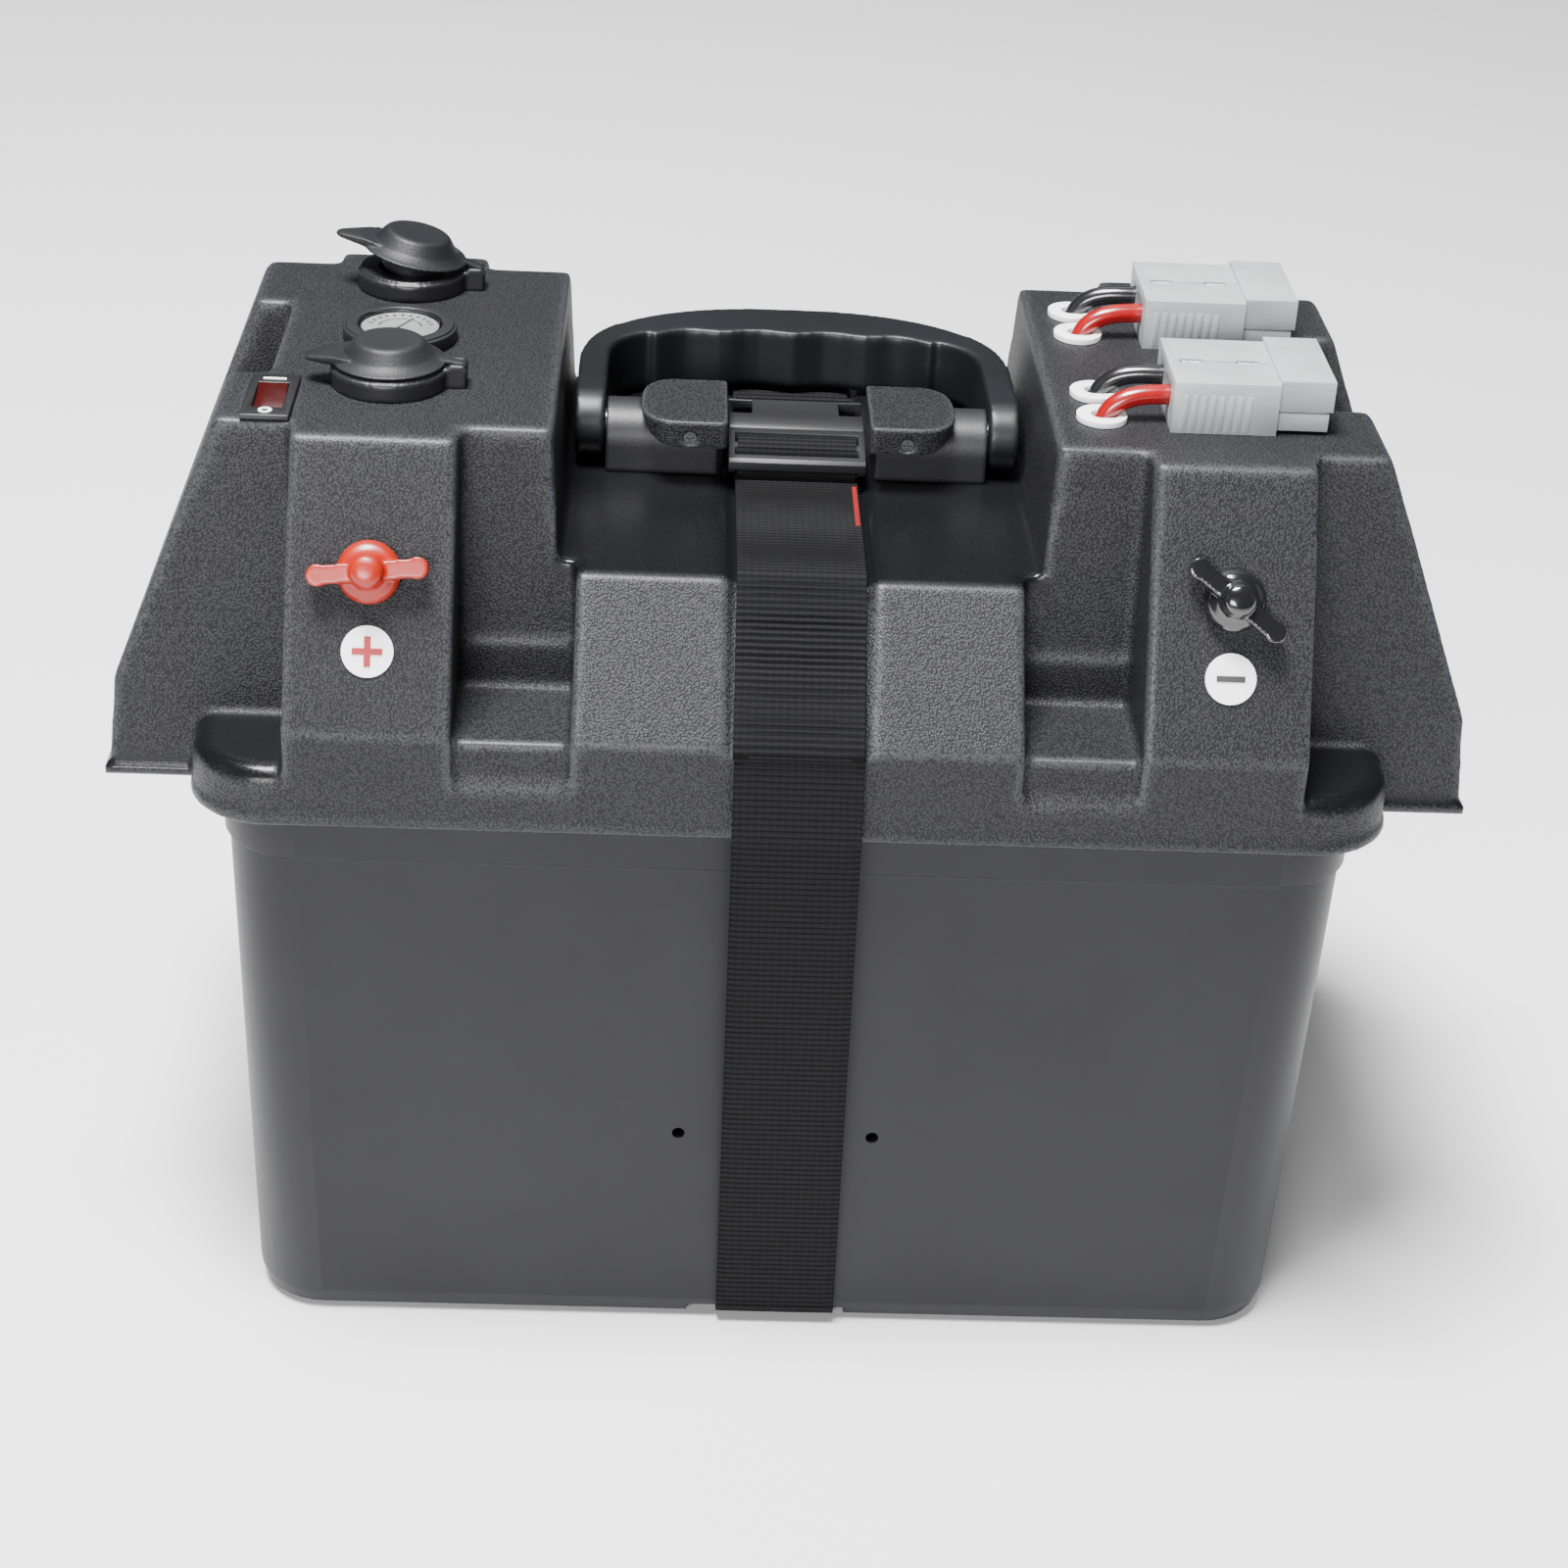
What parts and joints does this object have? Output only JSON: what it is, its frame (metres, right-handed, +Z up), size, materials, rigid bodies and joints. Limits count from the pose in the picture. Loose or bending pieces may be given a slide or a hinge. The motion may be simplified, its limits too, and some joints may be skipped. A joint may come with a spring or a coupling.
{
  "type": "battery box",
  "caption": "Portable battery box: deep tub, lid with raised ends, folding handle, buckled strap, capped 12 V sockets, gauge, rocker, wing-nut terminals and grey connectors on short leads.",
  "frame": {"origin": "on the ground under the middle of the tub", "axes": "+X along the length towards the negative terminal and the grey connectors, -Y to the front with the terminals, +Z up"},
  "size_m": [0.4128, 0.2392, 0.3146],
  "materials": {
    "tub_plastic": "satin",
    "lid_plastic": "fine pebble texture",
    "block_plastic": "satin",
    "handle_plastic": "satin",
    "fitting_plastic": "satin",
    "cap_rubber": "matte",
    "webbing": "ribbed weave",
    "buckle_plastic": "satin",
    "zinc_steel": "zinc plated",
    "terminal_brass": "plain",
    "contact_silver": "silver plated",
    "dial_white": "printed",
    "gauge_window": "clear",
    "rocker_red": "translucent gloss",
    "knob_red": "gloss",
    "knob_black": "gloss",
    "grommet_white": "satin",
    "pvc_red": "gloss",
    "pvc_black": "gloss",
    "connector_grey": "matte"
  },
  "bodies": {
    "tub": {"tub": "tub_plastic", "strap_loop": "webbing"},
    "lid": {"lid": "lid_plastic", "mount_block_left": "block_plastic", "mount_block_right": "block_plastic", "mount_cover_left": "lid_plastic", "mount_cover_right": "lid_plastic", "cover_screws": "zinc_steel", "pivot_pins": "zinc_steel", "strap_tail": "webbing", "buckle_housing": "buckle_plastic", "buckle_plug": "buckle_plastic", "socket_front": "fitting_plastic", "socket_rear": "fitting_plastic", "socket_front_contact": "zinc_steel", "socket_rear_contact": "zinc_steel", "socket_nuts": "fitting_plastic", "gauge_bezel": "fitting_plastic", "gauge_dial": "dial_white", "gauge_lens": "gauge_window", "rocker_frame": "fitting_plastic", "rocker_axle": "zinc_steel", "rocker_marks": "dial_white", "stud_positive": "terminal_brass", "stud_negative": "terminal_brass", "stud_nuts": "terminal_brass", "label_discs": "dial_white", "mark_plus": "knob_red", "mark_minus": "knob_black", "cable_grommets": "grommet_white", "lead_front_red": "pvc_red", "lead_front_black": "pvc_black", "lead_rear_red": "pvc_red", "lead_rear_black": "pvc_black", "connector_front": "connector_grey", "connector_rear": "connector_grey", "contacts_front": "contact_silver", "contacts_rear": "contact_silver", "connector_pins": "zinc_steel"},
    "handle": {"handle": "handle_plastic"},
    "cap_front": {"cap_front": "cap_rubber"},
    "cap_rear": {"cap_rear": "cap_rubber"},
    "rocker": {"rocker_button": "rocker_red"},
    "wing_nut_positive": {"wing_nut_positive": "knob_red"},
    "wing_nut_negative": {"wing_nut_negative": "knob_black"},
    "release_prong_left": {"release_prong_left": "buckle_plastic"},
    "release_prong_right": {"release_prong_right": "buckle_plastic"}
  },
  "joints": [
    {"name": "lid_lift", "type": "slide", "parent": "tub", "child": "lid", "axis": [0, 0, 1], "range_m": [0, 0.12], "deforming": ["strap_loop"]},
    {"name": "handle_fold", "type": "hinge", "parent": "lid", "child": "handle", "pos_m": [0, 0.005, 0.2685], "axis": [1, 0, 0], "range_deg": [0, 95]},
    {"name": "cap_front_hinge", "type": "hinge", "parent": "lid", "child": "cap_front", "pos_m": [-0.10245, -0.035, 0.3005], "axis": [0, 1, 0], "range_deg": [0, 110]},
    {"name": "cap_rear_hinge", "type": "hinge", "parent": "lid", "child": "cap_rear", "pos_m": [-0.10245, 0.049, 0.3005], "axis": [0, 1, 0], "range_deg": [-11.5, 98.5]},
    {"name": "rocker_tilt", "type": "hinge", "parent": "lid", "child": "rocker", "pos_m": [-0.157, -0.052, 0.292], "axis": [1, 0, 0], "range_deg": [-16, 0]},
    {"name": "wing_nut_positive_turn", "type": "hinge", "parent": "lid", "child": "wing_nut_positive", "pos_m": [-0.1247, -0.09495, 0.2605], "axis": [0, -0.8944, 0.4472], "range_deg": [-180, 180]},
    {"name": "wing_nut_negative_turn", "type": "hinge", "parent": "lid", "child": "wing_nut_negative", "pos_m": [0.1247, -0.09495, 0.2605], "axis": [0, -0.8944, 0.4472], "range_deg": [-180, 180]},
    {"name": "release_left_press", "type": "slide", "parent": "lid", "child": "release_prong_left", "axis": [1, 0, 0], "range_m": [0, 0.0024], "stiffness_N_per_m": 900},
    {"name": "release_right_press", "type": "slide", "parent": "lid", "child": "release_prong_right", "axis": [-1, 0, 0], "range_m": [0, 0.0024], "stiffness_N_per_m": 900}
  ]
}
